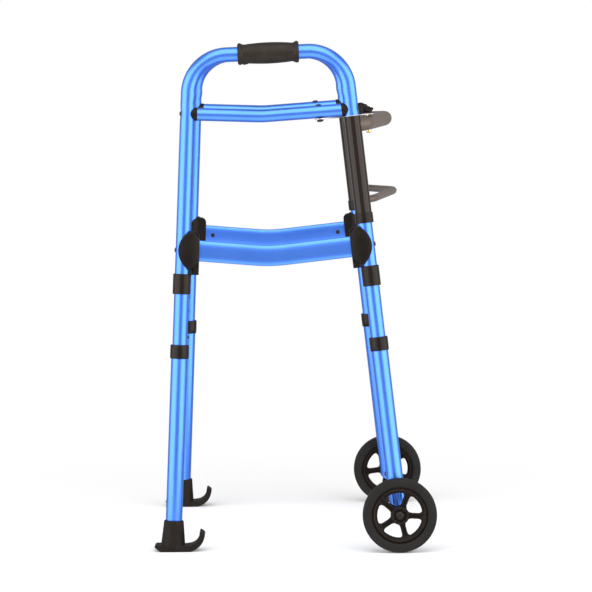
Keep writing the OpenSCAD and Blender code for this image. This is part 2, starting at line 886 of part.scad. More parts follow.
rear_snap_button(false);  // rear_snap_button_right
front_snap_button(false);  // front_snap_button_right
lock_strut(false);  // lock_strut_right
release_lever(false);  // release_lever_right
side_tube(true);  // side_tube_left
hand_grip(true);  // hand_grip_left
upper_bar(true);  // upper_bar_left
lower_bar(true);  // lower_bar_left
upper_saddles(true);  // upper_saddles_left
lower_saddles(true);  // lower_saddles_left
bar_rivets(true);  // bar_rivets_left
stop_collars(true);  // stop_collars_left
spring_clips(true);  // spring_clips_left
strut_bolt(true);  // strut_bolt_left
strut_nut(true);  // strut_nut_left
rear_leg(true);  // rear_leg_left
rear_leg_collar(true);  // rear_leg_collar_left
glide(true);  // glide_left
front_leg(true);  // front_leg_left
front_leg_collar(true);  // front_leg_collar_left
wheel_mount(true);  // wheel_mount_left
axle_bolt(true);  // axle_bolt_left
axle_nut(true);  // axle_nut_left
tyre(true);  // tyre_left
wheel_rim(true);  // wheel_rim_left
wheel_bushes(true);  // wheel_bushes_left
rear_snap_button(true);  // rear_snap_button_left
front_snap_button(true);  // front_snap_button_left
lock_strut(true);  // lock_strut_left
release_lever(true);  // release_lever_left
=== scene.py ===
import json
import math

import bpy
import numpy as np
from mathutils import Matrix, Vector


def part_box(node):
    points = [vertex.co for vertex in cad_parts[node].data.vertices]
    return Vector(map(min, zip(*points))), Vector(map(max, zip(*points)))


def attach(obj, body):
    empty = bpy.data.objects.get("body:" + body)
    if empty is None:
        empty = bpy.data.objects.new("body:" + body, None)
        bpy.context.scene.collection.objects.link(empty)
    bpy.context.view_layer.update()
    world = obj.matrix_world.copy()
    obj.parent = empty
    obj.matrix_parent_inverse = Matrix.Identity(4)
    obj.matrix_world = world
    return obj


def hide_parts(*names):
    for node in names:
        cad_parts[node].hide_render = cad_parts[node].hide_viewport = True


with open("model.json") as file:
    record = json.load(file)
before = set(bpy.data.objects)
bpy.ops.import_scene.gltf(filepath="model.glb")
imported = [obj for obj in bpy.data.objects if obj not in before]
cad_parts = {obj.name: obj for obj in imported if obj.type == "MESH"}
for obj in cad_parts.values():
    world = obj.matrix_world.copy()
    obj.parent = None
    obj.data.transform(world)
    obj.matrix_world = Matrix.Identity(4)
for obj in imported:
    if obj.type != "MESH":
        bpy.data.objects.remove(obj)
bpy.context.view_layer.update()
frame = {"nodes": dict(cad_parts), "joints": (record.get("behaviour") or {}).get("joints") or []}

import openvdb as vdb
from mathutils import Matrix, Vector

MM = 0.001

# ---------------------------------------------------------------- placing

JOINTS = {j["name"]: j for j in frame["joints"]}
wheel_axis = Vector(JOINTS["wheel_spin_right"]["axis"])
wheel_at = Vector(JOINTS["wheel_spin_right"]["pos_m"]) / MM
LEAN = math.atan2(wheel_axis.z, -wheel_axis.y)
FRONT_RAKE = math.asin(-JOINTS["front_leg_height_right"]["axis"][0])
REAR_RAKE = math.asin(JOINTS["rear_leg_height_right"]["axis"][0])
HALF_FLOOR = 258.0
FOOT_GAP = 396.0
WHEEL_OUT = 34.0
WHEEL_Z = (wheel_at.z - WHEEL_OUT * math.sin(LEAN)) / math.cos(LEAN)
FRONT_FOOT_X = wheel_at.x + WHEEL_Z * math.tan(FRONT_RAKE)
REAR_FOOT_X = FRONT_FOOT_X - FOOT_GAP
SPOKE_TURN = {"right": math.radians(-3), "left": math.radians(43.5)}
SIDES = ("right", "left")
MIRROR = Matrix.Diagonal((1, -1, 1, 1))
RIGHT_SIDE = Matrix.Translation((0, -HALF_FLOOR, 0)) @ Matrix.Rotation(-LEAN, 4, "X")
OUTWARD = Matrix.Rotation(math.pi / 2, 4, "X")
INWARD = Matrix.Rotation(-math.pi / 2, 4, "X")
PLAIN = Matrix.Identity(4)

# Main dimensions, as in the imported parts
TUBE_R = 12.7
LEG_R = 14.2
SLEEVE_R = 14.3
BEND_R = 68.0
GRIP_X = -42.0
GRIP_H = 853.0
GRIP_TILT = math.radians(2.16)
TUBE_END_Z = 190.0
UPPER_BAR_R = 11.1
UPPER_BAR_Z = (749.6, 745.2, 756.8)
UPPER_BEND_X = -53.0
UPPER_REACH = 17.0
LOWER_BAR_Z = (516.4, 505.0, 524.0)
LOWER_BEND_X = -41.0
LOWER_REACH = 28.2
LOWER_BAR_H = 36.0
LOWER_BAR_T = 13.0
REAR_COLLAR_H = 354.4
FRONT_COLLAR_H = 366.0
COLLAR_H = 24.0
BUTTON_DROP = 31.0
NOTCH = 25.4
STOP_COLLAR_Z = (441.0, 453.5)
STOP_COLLAR_H = 35.0
SLEEVE_Z = (561.0, 743.9)
RING_H = 17.7
CROSSBAR_H = 729.0
BOW_H = 600.0
ARM_SLOPE = math.radians(12.4)
APEX_R = 150.0
LOCK = (26.9, 45.0)
BOLT_BACK = 55.0
STRUT_H = 15.9
PLATE_H = 17.9
PLATE_T = 1.6


def front_x(z):
    return FRONT_FOOT_X - z * math.tan(FRONT_RAKE)


def rear_x(z):
    return REAR_FOOT_X + z * math.tan(REAR_RAKE)


def at_front(z):
    return Matrix.Translation((front_x(z), 0, z)) @ Matrix.Rotation(-FRONT_RAKE, 4, "Y")


def at_rear(z):
    return Matrix.Translation((rear_x(z), 0, z)) @ Matrix.Rotation(REAR_RAKE, 4, "Y")


def on_side(side):
    return MIRROR @ RIGHT_SIDE if side == "left" else RIGHT_SIDE


def shift(x, y, z):
    return Matrix.Translation((x, y, z))


# ---------------------------------------------------------------- mesh shapes
# A shape is a pair: an array of points in millimetres, and a list of faces.


def moved(shape, place):
    points, faces = shape
    m = np.array(place)
    out = points @ m[:3, :3].T + m[:3, 3]
    if np.linalg.det(m[:3, :3]) < 0:
        faces = [f[::-1] for f in faces]
    return out, faces


def merged(shapes):
    points = []
    faces = []
    start = 0
    for p, f in shapes:
        points.append(p)
        faces += [tuple(i + start for i in face) for face in f]
        start += len(p)
    return np.vstack(points), faces


def rounded(corners, steps=5):
    """A closed outline with each corner (u, v, radius) rounded."""
    out = []
    n = len(corners)
    for i, (u, v, r) in enumerate(corners):
        here = np.array((u, v), float)
        if r <= 0:
            out.append(tuple(here))
            continue
        a = np.array(corners[i - 1][:2], float) - here
        b = np.array(corners[(i + 1) % n][:2], float) - here
        la, lb = np.linalg.norm(a), np.linalg.norm(b)
        a, b = a / la, b / lb
        half = math.acos(np.clip(a @ b, -1, 1)) / 2
        back = min(r / math.tan(half), la * 0.49, lb * 0.49)
        r = back * math.tan(half)
        middle = (a + b) / np.linalg.norm(a + b) * (r / math.sin(half))
        first, last = a * back - middle, b * back - middle
        turn = math.atan2(first[0] * last[1] - first[1] * last[0], first @ last)
        for k in range(steps + 1):
            t = turn * k / steps
            c, s = math.cos(t), math.sin(t)
            spun = np.array((first[0] * c - first[1] * s, first[0] * s + first[1] * c))
            out.append(tuple(here + middle + spun))
    return out


def lathe(profile, steps=96, closed=True):
    """Turns an outline of (radius, height) about Z. A closed outline runs anticlockwise."""
    points = []
    rings = []
    for r, z in profile:
        if r < 1e-6:
            rings.append([len(points)])
            points.append((0, 0, z))
            continue
        rings.append(list(range(len(points), len(points) + steps)))
        for k in range(steps):
            t = 2 * math.pi * k / steps
            points.append((r * math.cos(t), r * math.sin(t), z))
    faces = []
    pairs = list(zip(rings, rings[1:]))
    if closed:
        pairs.append((rings[-1], rings[0]))
    for a, b in pairs:
        for k in range(steps):
            n = (k + 1) % steps
            if len(a) == 1 and len(b) == 1:
                continue
            if len(a) == 1:
                faces.append((a[0], b[n], b[k]))
            elif len(b) == 1:
                faces.append((a[k], a[n], b[0]))
            else:
                faces.append((a[k], a[n], b[n], b[k]))
    return np.array(points), faces


def collar(outer, inner, low, high, edge=1.6, lip=0.4):
    """A ring with rounded edges."""
    return lathe(rounded([
        (inner, low, lip), (outer, low, edge), (outer, high, edge), (inner, high, lip)
    ]))


def filleted(corners, radius, step):
    """Points (u, v) along straight lines that are joined by arcs."""
    pieces = []
    last = np.array(corners[0], float)
    for i in range(1, len(corners) - 1):
        here = np.array(corners[i], float)
        a = np.array(corners[i - 1], float) - here
        b = np.array(corners[i + 1], float) - here
        a, b = a / np.linalg.norm(a), b / np.linalg.norm(b)
        half = math.acos(np.clip(a @ b, -1, 1)) / 2
        back = radius / math.tan(half)
        pieces.append(("line", last, here + a * back))
        pieces.append(("arc", here + a * back, here + b * back, here, half))
        last = here + b * back
    pieces.append(("line", last, np.array(corners[-1], float)))
    out = []
    for piece in pieces:
        a, b = piece[1], piece[2]
        if piece[0] == "line":
            n = max(1, int(np.linalg.norm(b - a) / step))
            out += [a + (b - a) * k / n for k in range(n)]
        else:
            here, half = piece[3], piece[4]
            to_middle = (a + b) / 2 - here
            centre = here + to_middle / np.linalg.norm(to_middle) * (radius / math.sin(half))
            first, last_arm = a - centre, b - centre
            turn = math.atan2(
                first[0] * last_arm[1] - first[1] * last_arm[0], first @ last_arm
            )
            n = max(4, int(abs(turn) * radius / step))
            for k in range(n):
                t = turn * k / n
                c, s = math.cos(t), math.sin(t)
                out.append(centre + np.array(
                    (first[0] * c - first[1] * s, first[0] * s + first[1] * c)
                ))
    out.append(pieces[-1][2])
    return np.array(out)


def sweep(points, across, section, caps=True):
    """Runs a section along 3-D points. section(i) gives offsets (in the path's plane, along across)."""
    points = np.asarray(points, float)
    across = np.asarray(across, float)
    tangents = np.gradient(points, axis=0)
    tangents /= np.linalg.norm(tangents, axis=1)[:, None]
    rows = []
    for i, (p, t) in enumerate(zip(points, tangents)):
        side = np.cross(across, t)
        side /= np.linalg.norm(side)
        up = np.cross(t, side)
        offsets = section(i)
        rows.append(p + offsets[:, :1] * side + offsets[:, 1:] * up)
    return grid_of(rows, caps)


def grid_of(rows, caps):
    n = len(rows[0])
    faces = []
    for i in range(len(rows) - 1):
        a, b = i * n, (i + 1) * n
        for k in range(n):
            m = (k + 1) % n
            faces.append((a + k, a + m, b + m, b + k))
    if caps:
        faces.append(tuple(range(n))[::-1])
        faces.append(tuple(range((len(rows) - 1) * n, len(rows) * n)))
    return np.vstack(rows), faces


def circle(r, steps=48):
    t = 2 * np.pi * np.arange(steps) / steps
    return np.stack((r * np.cos(t), r * np.sin(t)), 1)


def dome_head(r, h, skirt=0.7):
    """A rivet's head on z = 0: a short rounded skirt and a crown."""
    profile = [(0, -0.6), (r, -0.6), (r, skirt * 0.5)]
    for k in range(9):
        t = math.radians(90 * k / 8)
        profile.append((r * (0.97 * math.cos(t)), skirt + (h - skirt) * math.sin(t)))
    profile[-1] = (0, h)
    return lathe(profile, 40, closed=False)


# ---------------------------------------------------------------- moulded shapes
# A field is below zero inside the solid, in millimetres.


def join(a, b, k):
    h = np.maximum(k - np.abs(a - b), 0) / k
    return np.minimum(a, b) - h * h * k * 0.25


def meet(a, b, k):
    return -join(-a, -b, k)


def block(x, y, z, centre, half, r):
    q = [np.abs(p - c) - h + r for p, c, h in zip((x, y, z), centre, half)]
    outside = np.sqrt(sum(np.maximum(v, 0) ** 2 for v in q))
    inside = np.minimum(np.maximum(np.maximum(q[0], q[1]), q[2]), 0)
    return outside + inside - r


def disc(u, v, w, radius, low, high, r):
    a = np.hypot(u, v) - radius + r
    b = np.abs(w - (low + high) / 2) - (high - low) / 2 + r
    outside = np.hypot(np.maximum(a, 0), np.maximum(b, 0))
    return outside + np.minimum(np.maximum(a, b), 0) - r


def outline(u, v, corners):
    """Signed distance to a closed polygon."""
    best = np.full(np.broadcast(u, v).shape, 1e9)
    inside = np.zeros(best.shape, bool)
    n = len(corners)
    for i in range(n):
        (ax, ay), (bx, by) = corners[i], corners[(i + 1) % n]
        ex, ey = bx - ax, by - ay
        t = np.clip(((u - ax) * ex + (v - ay) * ey) / (ex * ex + ey * ey), 0, 1)
        best = np.minimum(best, np.hypot(u - ax - ex * t, v - ay - ey * t))
        crosses = (ay > v) != (by > v)
        reach = ax + (v - ay) * ex / (ey if abs(ey) > 1e-9 else 1e-9)
        inside ^= crosses & (u < reach)
    return np.where(inside, -best, best)


def slab(flat, thick, r):
    """A flat field given a thickness field, with edges rounded by r."""
    a, b = flat + r, thick + r
    outside = np.hypot(np.maximum(a, 0), np.maximum(b, 0))
    return outside + np.minimum(np.maximum(a, b), 0) - r


def moulded(field, low, high, cell):
    axes = [np.arange(a, b + cell, cell) for a, b in zip(low, high)]
    x, y, z = np.meshgrid(*axes, indexing="ij", sparse=True)
    values = np.broadcast_to(field(x, y, z), [len(a) for a in axes])
    grid = vdb.FloatGrid(10.0)
    grid.copyFromArray(np.ascontiguousarray(values, dtype=np.float32))
    points, quads = grid.convertToQuads(isovalue=0.0)
    points = np.asarray(points, float) * cell + np.array(low)
    return points, outward_facing(points, [tuple(int(i) for i in q) for q in quads])


def outward_facing(points, faces):
    """Turns all faces over if the shape's volume comes out negative."""
    f = np.array(faces)
    a, b, c, d = (points[f[:, i]] for i in range(4))
    volume = np.einsum("ij,ij->i", a, np.cross(b, c)) + np.einsum("ij,ij->i", a, np.cross(c, d))
    return [q[::-1] for q in faces] if volume.sum() < 0 else faces


# ---------------------------------------------------------------- materials


def node(tree, kind, **inputs):
    n = tree.nodes.new(kind)
    for key, value in inputs.items():
        n.inputs[key.replace("_", " ")].default_value = value
    return n


def ramp(tree, source, stops):
    n = tree.nodes.new("ShaderNodeValToRGB")
    while len(n.color_ramp.elements) < len(stops):
        n.color_ramp.elements.new(0.5)
    for e, (at, colour) in zip(n.color_ramp.elements, stops):
        e.position = at
        e.color = (*colour, 1)
    tree.links.new(source, n.inputs["Fac"])
    return n.outputs["Color"]


def spread(tree, source, low, high):
    n = tree.nodes.new("ShaderNodeMapRange")
    n.inputs["To Min"].default_value = low
    n.inputs["To Max"].default_value = high
    tree.links.new(source, n.inputs["Value"])
    return n.outputs["Result"]


def finish(name, shades, rough, metallic=0.0, patch=40, grain=900, bump=0.05, depth=0.00008,
           edge=None, warm=0.0, stretch=(1, 1, 1), specular=0.5, pebble=0.0):
    """A surface with mottled colour, uneven gloss, fine grain, and a tint on its edges."""
    m = bpy.data.materials.new(name)
    m.use_nodes = True
    tree = m.node_tree
    shader = tree.nodes["Principled BSDF"]
    shader.inputs["Metallic"].default_value = metallic
    shader.inputs["Specular IOR Level"].default_value = specular
    shader.inputs["Specular Tint"].default_value = (1, 1 - warm * 0.6, 1 - warm, 1)
    place = tree.nodes.new("ShaderNodeTexCoord")
    mapping = tree.nodes.new("ShaderNodeMapping")
    mapping.inputs["Scale"].default_value = stretch
    tree.links.new(place.outputs["Object"], mapping.inputs["Vector"])
    broad = node(tree, "ShaderNodeTexNoise", Scale=patch, Detail=4.0, Roughness=0.6)
    fine = node(tree, "ShaderNodeTexNoise", Scale=grain, Detail=3.0, Roughness=0.65)
    for n in (broad, fine):
        tree.links.new(mapping.outputs["Vector"], n.inputs["Vector"])
    colour = ramp(tree, broad.outputs["Fac"], [(0.3, shades[0]), (0.7, shades[1])])
    if edge:
        geometry = tree.nodes.new("ShaderNodeNewGeometry")
        mask = ramp(tree, geometry.outputs["Pointiness"],
                    [(0.515, (0, 0, 0)), (0.58, (0.75, 0.75, 0.75))])
        mix = tree.nodes.new("ShaderNodeMix")
        mix.data_type = "RGBA"
        tree.links.new(mask, mix.inputs["Factor"])
        tree.links.new(colour, mix.inputs["A"])
        mix.inputs["B"].default_value = (*edge, 1)
        colour = mix.outputs["Result"]
    tree.links.new(colour, shader.inputs["Base Color"])
    tree.links.new(spread(tree, fine.outputs["Fac"], *rough), shader.inputs["Roughness"])
    height = fine.outputs["Fac"]
    if pebble:
        cells = node(tree, "ShaderNodeTexVoronoi", Scale=pebble, Randomness=0.9)
        cells.feature = "SMOOTH_F1"
        cells.inputs["Smoothness"].default_value = 0.6
        tree.links.new(mapping.outputs["Vector"], cells.inputs["Vector"])
        add = tree.nodes.new("ShaderNodeMath")
        add.operation = "MULTIPLY_ADD"
        tree.links.new(cells.outputs["Distance"], add.inputs[0])
        add.inputs[1].default_value = -1.6
        tree.links.new(height, add.inputs[2])
        height = add.outputs["Value"]
    relief = node(tree, "ShaderNodeBump", Strength=bump, Distance=depth)
    tree.links.new(height, relief.inputs["Height"])
    tree.links.new(relief.outputs["Normal"], shader.inputs["Normal"])
    return m


DRAWN = (1, 1, 0.06)      # grain drawn out along the tubes
FINISHES = {
    "blue_tube": finish("anodised_blue", ((0.085, 0.25, 0.90), (0.10, 0.28, 0.98)),
                        (0.29, 0.35), metallic=0.95, patch=9, grain=500, bump=0.012,
                        stretch=DRAWN),
    "black_sleeve": finish("anodised_black", ((0.005, 0.0036, 0.0030), (0.009, 0.0068, 0.0058)),
                           (0.07, 0.11), patch=12, grain=600, bump=0.012, stretch=DRAWN,
                           edge=(0.05, 0.032, 0.024), warm=0.2, specular=0.32),
    "grey_crossbar": finish("anodised_grey", ((0.142, 0.110, 0.092), (0.176, 0.141, 0.119)),
                            (0.40, 0.45), metallic=0.7, patch=24, grain=500, bump=0.015,
                            stretch=(1, 0.08, 1)),
    "collar_plastic": finish("collar_black", ((0.0045, 0.0036, 0.0032), (0.0075, 0.006, 0.0053)),
                             (0.24, 0.32), patch=60, grain=1500, bump=0.06, specular=0.22,
                             warm=0.2, edge=(0.034, 0.017, 0.010)),
    "moulded_plastic": finish("moulded_black", ((0.0045, 0.0036, 0.0032), (0.0078, 0.0062, 0.0055)),
                              (0.36, 0.46), patch=50, grain=1700, bump=0.12, specular=0.14,
                              warm=0.2, edge=(0.032, 0.018, 0.011)),
    "glide_plastic": finish("glide_black", ((0.0060, 0.0049, 0.0043), (0.0095, 0.0080, 0.0070)),
                            (0.50, 0.62), patch=45, grain=1600, bump=0.16, specular=0.15,
                            warm=0.2, edge=(0.026, 0.017, 0.012)),
    "grip_rubber": finish("grip_rubber", ((0.0090, 0.0070, 0.0055), (0.017, 0.0132, 0.0105)),
                          (0.42, 0.56), patch=70, grain=1900, bump=0.35, depth=0.00015,
                          specular=0.24, warm=0.22, pebble=900),
    "tyre_rubber": finish("tyre_rubber", ((0.0090, 0.0083, 0.0078), (0.0135, 0.0126, 0.012)),
                          (0.55, 0.70), patch=35, grain=1500, bump=0.15, specular=0.16,
                          warm=0.08),
    "black_steel": finish("black_steel", ((0.0070, 0.0058, 0.005), (0.013, 0.011, 0.0095)),
                          (0.28, 0.40), metallic=0.1, patch=120, grain=1800, bump=0.08,
                          specular=0.3, warm=0.15, edge=(0.05, 0.038, 0.03)),
    "bright_steel": finish("zinc_steel", ((0.42, 0.42, 0.41), (0.56, 0.56, 0.545)),
                           (0.26, 0.38), metallic=1.0, patch=160, grain=2200, bump=0.08,
                           edge=(0.62, 0.62, 0.60)),
    "bush_nylon": finish("natural_nylon", ((0.50, 0.48, 0.42), (0.62, 0.60, 0.54)),
                         (0.40, 0.52), patch=90, grain=1600, bump=0.12),
    "brass": finish("brass_plate", ((0.72, 0.50, 0.17), (0.90, 0.68, 0.28)),
                    (0.16, 0.26), metallic=1.0, patch=150, grain=2200, bump=0.08,
                    edge=(0.95, 0.78, 0.4)),
}
NODE_SLOTS = {
    "spring_clips": "bright_steel",
    "strut_nut": "black_steel",
    "axle_nut": "black_steel",
    "wheel_bushes": "bush_nylon",
    "lever_pins": "black_steel",
}


SHARP = math.radians(42)


def piece(name, shape, place, body, slot, *stands_for):
    """Adds a mesh piece in its place, riding on a body, instead of the named CAD nodes."""
    points, faces = moved(shape, place)
    mesh = bpy.data.meshes.new(name)
    mesh.from_pydata((points * MM).tolist(), [], faces)
    mesh.polygons.foreach_set("use_smooth", [True] * len(mesh.polygons))
    mesh.set_sharp_from_angle(angle=SHARP)
    mesh.materials.append(FINISHES[slot])
    obj = bpy.data.objects.new(name, mesh)
    bpy.context.scene.collection.objects.link(obj)
    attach(obj, body)
    if stands_for:
        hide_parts(*stands_for)
    return obj


def bored(obj, cutters, places):
    """Cuts holes in a piece. The cutters are shapes in millimetres."""
    mesh = bpy.data.meshes.new("cutter")
    points, faces = merged([moved(c, p) for c, p in zip(cutters, places)])
    mesh.from_pydata((points * MM).tolist(), [], faces)
    cutter = bpy.data.objects.new("cutter", mesh)
    bpy.context.scene.collection.objects.link(cutter)
    cut = obj.modifiers.new("holes", "BOOLEAN")
    cut.operation = "DIFFERENCE"
    cut.solver = "EXACT"
    cut.object = cutter
    graph = bpy.context.evaluated_depsgraph_get()
    result = bpy.data.meshes.new_from_object(obj.evaluated_get(graph))
    obj.modifiers.clear()
    obj.data = result
    result.polygons.foreach_set("use_smooth", [True] * len(result.polygons))
    result.set_sharp_from_angle(angle=SHARP)
    bpy.data.objects.remove(cutter)


# ---------------------------------------------------------------- side frames


def gauss(d, w):
    return np.exp(-((d / w) ** 2))


def tube_corners():
    slope = math.tan(GRIP_TILT)
    front_z = (GRIP_H + slope * (FRONT_FOOT_X - GRIP_X)) / (1 + slope * math.tan(FRONT_RAKE))
    rear_z = (GRIP_H + slope * (REAR_FOOT_X - GRIP_X)) / (1 - slope * math.tan(REAR_RAKE))
    return [
        (rear_x(TUBE_END_Z), TUBE_END_Z), (rear_x(rear_z), rear_z),
        (front_x(front_z), front_z), (front_x(TUBE_END_Z), TUBE_END_Z),
    ]


PINCH_DEPTH = 1.1
PINCH_SPREAD = 7.5
RIPPLE_DEPTH = 1.2
RIPPLE_SPREAD = 9
RIPPLE_SLOPE = 7
BEND_ABOVE_RIVET = 25


def side_tube():
    """The bent tube, pinched at the upper bar's rivets and rippled where its bends begin."""
    flat = filleted(tube_corners(), BEND_R, 2.5)
    steps = 64
    angle = 2 * np.pi * np.arange(steps) / steps
    outer = gauss(np.angle(np.exp(1j * (angle - math.pi))), 0.75)
    inner = gauss(np.angle(np.exp(1j * angle)), 1.0)
    around = np.stack((np.cos(angle), np.sin(angle)), 1)

    def section(i):
        x, z = flat[i]
        rear = x < GRIP_X
        rivet_z = UPPER_BAR_Z[0] if rear else UPPER_BAR_Z[2]
        pinch = PINCH_DEPTH * gauss(z - rivet_z, PINCH_SPREAD) * outer
        d = z - (rivet_z + BEND_ABOVE_RIVET)
        ripple = RIPPLE_DEPTH * (d / RIPPLE_SLOPE) * gauss(d, RIPPLE_SPREAD) * inner
        return around * (TUBE_R - pinch + ripple)[:, None]

    points = np.stack((flat[:, 0], np.zeros(len(flat)), flat[:, 1]), 1)
    return sweep(points, (0, 1, 0), section)


# From a tube's axis to the inner end of the cutter that drills a hole in its wall
HOLE_START = 9.0


def notch_places():
    """Where the inner face is drilled: under the button, and at two holes above the collar."""
    out = []
    for k in (0, 2, 3):
        for collar_h, at in ((FRONT_COLLAR_H, at_front), (REAR_COLLAR_H, at_rear)):
            up = at(collar_h - BUTTON_DROP) @ shift(0, 0, k * NOTCH)
            out.append(up @ INWARD @ shift(0, 0, HOLE_START))
    return out


def hand_grip():
    """A grip with a rolled bead at each end, a waist behind each bead and a crowned barrel."""
    half = 52.5
    bead = [
        (12.75, 0.6), (13.4, 0.1), (15.6, 0.0), (16.9, 0.35), (17.8, 1.1), (18.4, 2.1),
        (18.75, 3.4), (18.7, 4.7), (18.2, 5.9), (17.4, 7.0), (16.7, 8.1), (16.2, 9.4),
        (16.0, 10.8), (16.0, 12.4),
    ]
    barrel = []
    rise = 2.3
    count = 24
    for k in range(1, count):
        t = k / count
        low = 12.4
        barrel.append((16.0 + rise * math.sin(math.pi * t) ** 0.8, low + t * (2 * half - 2 * low)))
    profile = [(r, z - half) for r, z in bead]
    profile += [(r, z - half) for r, z in barrel]
    profile += [(r, half - z) for r, z in reversed(bead)]
    body = lathe(profile, 96)
    nub = lathe([(3.4, -3), (3.3, 0.2), (2.7, 1.6), (1.7, 2.7), (0, 3.2)], 32, closed=False)
    below = shift(15.8, 0, -half + 11.5) @ Matrix.Rotation(math.pi / 2, 4, "Y")
    return merged([body, moved(nub, below)])


def bar_path(heights, bend_x, reach, radius, spare=3.0):
    rear = (rear_x(heights[0]) + reach * math.cos(REAR_RAKE) - spare,
            heights[0] - reach * math.sin(REAR_RAKE))
    front = (front_x(heights[2]) - reach * math.cos(FRONT_RAKE) + spare,
             heights[2] - reach * math.sin(FRONT_RAKE))
    flat = filleted([rear, (bend_x, heights[1]), front], radius, 6)
    return np.stack((flat[:, 0], np.zeros(len(flat)), flat[:, 1]), 1)


def upper_bar():
    path = bar_path(UPPER_BAR_Z, UPPER_BEND_X, UPPER_REACH, 180)
    return sweep(path, (0, 1, 0), lambda i: circle(UPPER_BAR_R))


def lower_bar():
    """A flattened tube with softly crowned faces."""
    t = 2 * np.pi * np.arange(72) / 72
    high = LOWER_BAR_H / 2
    thick = LOWER_BAR_T / 2
    c, s = np.cos(t), np.sin(t)
    section = np.stack((high * np.sign(c) * np.abs(c) ** 0.80,
                        thick * np.sign(s) * np.abs(s) ** 0.62), 1)
    path = bar_path(LOWER_BAR_Z, LOWER_BEND_X, LOWER_REACH, 260)
    return sweep(path, (0, 1, 0), lambda i: section)


def leaf_field(x, y, z, tail_z, tail_x):
    """Lower saddle: a crowned leaf outside, a lobed web inside and a tail below, round the leg."""
    leaf = meet(np.hypot(x + 28.7, z) - 36.5, np.hypot(x - 6.1, z) - 38.8, 1.0)
    leaf = meet(leaf, -LOWER_REACH - x, 0.8)
    crown = np.abs(y) - 16.3 + 0.0105 * (x + 6) ** 2 + 0.0022 * z * z
    raised = meet(meet(leaf, crown, 2.2), y - 2.0, 1.0)
    web = outline(x, z, [
        (-28.2, tail_z), (-28.2, 21), (-26.9, 27.5), (-22.8, 31.4), (-18.2, 32.3), (-14.5, 30.4),
        (1.5, 15.0), (1.5, -19), (tail_x, tail_z + 6.5), (tail_x, tail_z),
    ])
    tail = block(x, 0 * y, z, (-23.6, 0, tail_z / 2 + 2), (4.6, 9, 2 - tail_z / 2), 1.6)
    cheek = join(np.hypot(x, y) - (TUBE_R + 2.0), np.abs(y) - 9.3, 1.5)
    inner = meet(slab(web - 0.3, cheek, 1.3), -y, 0.6)
    outer = slab(join(leaf - 0.1, tail, 0.8), cheek, 1.0)
    body = meet(join(inner, outer, 0.6), -LOWER_REACH - x, 0.6)
    shape = join(raised, body, 0.7)
    return meet(shape, TUBE_R + 0.06 - np.hypot(x, y), 0.3)


def cap_saddle(x, y, z):
    """Upper saddle: a domed D-shaped cap between the leg and the bar."""
    around = np.hypot(x + UPPER_REACH, z)
    face = around - 11.6
    crown = np.hypot(x, y) - (TUBE_R + 2.7) + 0.012 * around ** 2
    cap = meet(meet(face, crown, 2.2), -UPPER_REACH - x, 0.8)
    barrel = disc(y, z, x, UPPER_BAR_R + 0.5, -UPPER_REACH, -5, 0.8)
    shape = join(cap, barrel, 1.2)
    return meet(shape, TUBE_R + 0.06 - np.hypot(x, y), 0.3)


def leaf_saddle(tail_z, tail_x):
    return moulded(lambda x, y, z: leaf_field(x, y, z, tail_z, tail_x),
                   (-30, -18, -44), (10, 18, 36), 0.5)


FRONT_LEAF = leaf_saddle(-37.4, -18.4)
REAR_LEAF = leaf_saddle(-41.5, -16.6)
CAP = moulded(cap_saddle, (-19, -17, -14), (0, 17, 14), 0.45)
TURN_BACK = Matrix.Diagonal((-1, 1, 1, 1))


def saddles(front, rear, heights):
    return merged([
        moved(front, at_front(heights[2])),
        moved(rear, at_rear(heights[0]) @ TURN_BACK),
    ])


def rivets():
    """Rivet heads on the legs' outer edges and on the lower bar's inner face."""
    head = dome_head(4.2, 2.5)
    small = dome_head(3.9, 1.7)
    forward = Matrix.Rotation(math.pi / 2, 4, "Y") @ shift(0, 0, TUBE_R - 0.5)
    backward = Matrix.Rotation(-math.pi / 2, 4, "Y") @ shift(0, 0, TUBE_R - 0.5)
    shapes = []
    for heights, sink in ((UPPER_BAR_Z, 0.7), (LOWER_BAR_Z, 0)):
        shapes.append(moved(head, at_front(heights[2]) @ forward @ shift(0, 0, -sink)))
        shapes.append(moved(head, at_rear(heights[0]) @ backward @ shift(0, 0, -sink)))
    reach = LOWER_REACH + 13
    face = LOWER_BAR_T / 2 - 0.15
    spots = [
        (rear_x(LOWER_BAR_Z[0]) + reach, LOWER_BAR_Z[0] - reach * math.sin(REAR_RAKE)),
        (front_x(LOWER_BAR_Z[2]) - reach, LOWER_BAR_Z[2] - reach * math.sin(FRONT_RAKE)),
    ]
    for x, z in spots:
        shapes.append(moved(small, shift(x, 0, z) @ INWARD @ shift(0, 0, face)))
    return merged(shapes)


# ---------------------------------------------------------------- legs and feet


def along(rake, z0, z1):
    return (z1 - z0) / math.cos(rake)


def rear_leg():
    length = along(REAR_RAKE, 12.5, REAR_COLLAR_H - 2.2)
    inner = LEG_R - 1.1
    return lathe(rounded([(inner, 0, 0.3), (LEG_R, 0, 0.3), (LEG_R, length, 0.3),
                          (inner, length, 0.3)], 3), 72)


